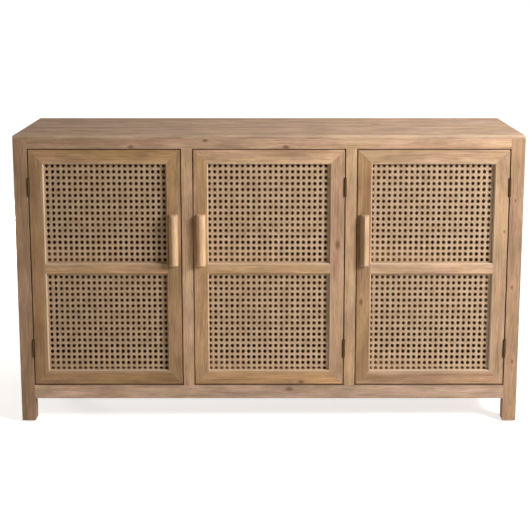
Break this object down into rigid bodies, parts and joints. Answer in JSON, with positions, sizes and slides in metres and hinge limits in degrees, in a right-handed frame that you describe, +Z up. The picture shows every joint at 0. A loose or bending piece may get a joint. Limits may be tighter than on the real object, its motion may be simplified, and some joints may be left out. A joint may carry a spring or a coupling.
{
  "type": "sideboard",
  "caption": "Free-standing wooden sideboard with cane-panelled doors on butt hinges, wooden bar pulls, inner shelves and square post legs.",
  "frame": {"origin": "on the floor, under the middle of the whole object's box, pulls included", "axes": "+X along the front to the viewer's right, +Y from the front to the back, +Z up"},
  "size_m": [1.4, 0.421, 0.82],
  "materials": {
    "frame_wood": "matt, limed light wood",
    "door_wood": "matt, limed light wood",
    "panel_wood": "matt veneered board",
    "pull_wood": "smooth, softly rounded",
    "cane": "woven cane, slightly glossy",
    "hinge_metal": "dark antique",
    "steel": "zinc plated",
    "dark_plastic": "dark moulded"
  },
  "bodies": {
    "carcass": {"top_panel": "frame_wood", "front_left_post": "frame_wood", "front_right_post": "frame_wood", "back_left_post": "frame_wood", "back_right_post": "frame_wood", "front_top_rail": "frame_wood", "front_bottom_rail": "frame_wood", "left_divider": "frame_wood", "right_divider": "frame_wood", "back_top_rail": "frame_wood", "back_bottom_rail": "frame_wood", "left_top_side_rail": "frame_wood", "left_bottom_side_rail": "frame_wood", "right_top_side_rail": "frame_wood", "right_bottom_side_rail": "frame_wood", "left_side_panel": "panel_wood", "right_side_panel": "panel_wood", "left_partition": "panel_wood", "right_partition": "panel_wood", "floor_panel": "panel_wood", "back_panel": "panel_wood", "left_shelf": "panel_wood", "centre_shelf": "panel_wood", "right_shelf": "panel_wood", "shelf_pins": "steel", "door_catches": "dark_plastic", "foot_glides": "dark_plastic", "frame_hinge_leaves": "hinge_metal", "hinge_pins": "hinge_metal"},
    "left_door": {"left_door_hinge_stile": "door_wood", "left_door_pull_stile": "door_wood", "left_door_top_rail": "door_wood", "left_door_bottom_rail": "door_wood", "left_door_mid_rail": "door_wood", "left_door_cane_sheet": "cane", "left_door_cane_beads": "door_wood", "left_door_pull": "pull_wood", "left_door_hinge_leaves": "hinge_metal", "left_door_strike_plate": "steel"},
    "centre_door": {"centre_door_hinge_stile": "door_wood", "centre_door_pull_stile": "door_wood", "centre_door_top_rail": "door_wood", "centre_door_bottom_rail": "door_wood", "centre_door_mid_rail": "door_wood", "centre_door_cane_sheet": "cane", "centre_door_cane_beads": "door_wood", "centre_door_pull": "pull_wood", "centre_door_hinge_leaves": "hinge_metal", "centre_door_strike_plate": "steel"},
    "right_door": {"right_door_hinge_stile": "door_wood", "right_door_pull_stile": "door_wood", "right_door_top_rail": "door_wood", "right_door_bottom_rail": "door_wood", "right_door_mid_rail": "door_wood", "right_door_cane_sheet": "cane", "right_door_cane_beads": "door_wood", "right_door_pull": "pull_wood", "right_door_hinge_leaves": "hinge_metal", "right_door_strike_plate": "steel"}
  },
  "joints": [
    {"name": "left_door_swing", "type": "hinge", "parent": "carcass", "child": "left_door", "pos_m": [-0.6605, -0.1895, 0.445], "axis": [0, 0, -1], "range_deg": [0, 165]},
    {"name": "centre_door_swing", "type": "hinge", "parent": "carcass", "child": "centre_door", "pos_m": [0.20917, -0.1895, 0.445], "axis": [0, 0, 1], "range_deg": [0, 140]},
    {"name": "right_door_swing", "type": "hinge", "parent": "carcass", "child": "right_door", "pos_m": [0.6605, -0.1895, 0.445], "axis": [0, 0, 1], "range_deg": [0, 165]}
  ]
}
